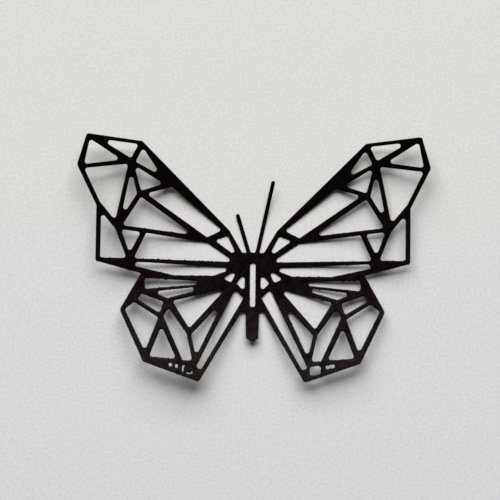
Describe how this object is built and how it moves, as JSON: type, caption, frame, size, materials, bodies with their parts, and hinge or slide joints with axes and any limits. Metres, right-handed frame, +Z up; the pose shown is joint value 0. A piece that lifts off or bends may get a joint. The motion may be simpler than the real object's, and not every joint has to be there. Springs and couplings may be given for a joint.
{
  "type": "cut paper butterfly",
  "caption": "Flat butterfly cut from one sheet of stiff black card, with an open lattice of ribs in its wings, which lift slightly off the table",
  "frame": {"origin": "middle of the thorax, on the underside of the sheet, where it rests on the table", "axes": "+X to the butterfly's right wing tip, along the span; +Y to the head; +Z up, out of the upper face"},
  "size_m": [0.1, 0.0698, 0.006],
  "materials": {
    "black_card": "matt uncoated card, dyed through"
  },
  "bodies": {
    "root": {"butterfly_sheet": "black_card"}
  },
  "joints": []
}
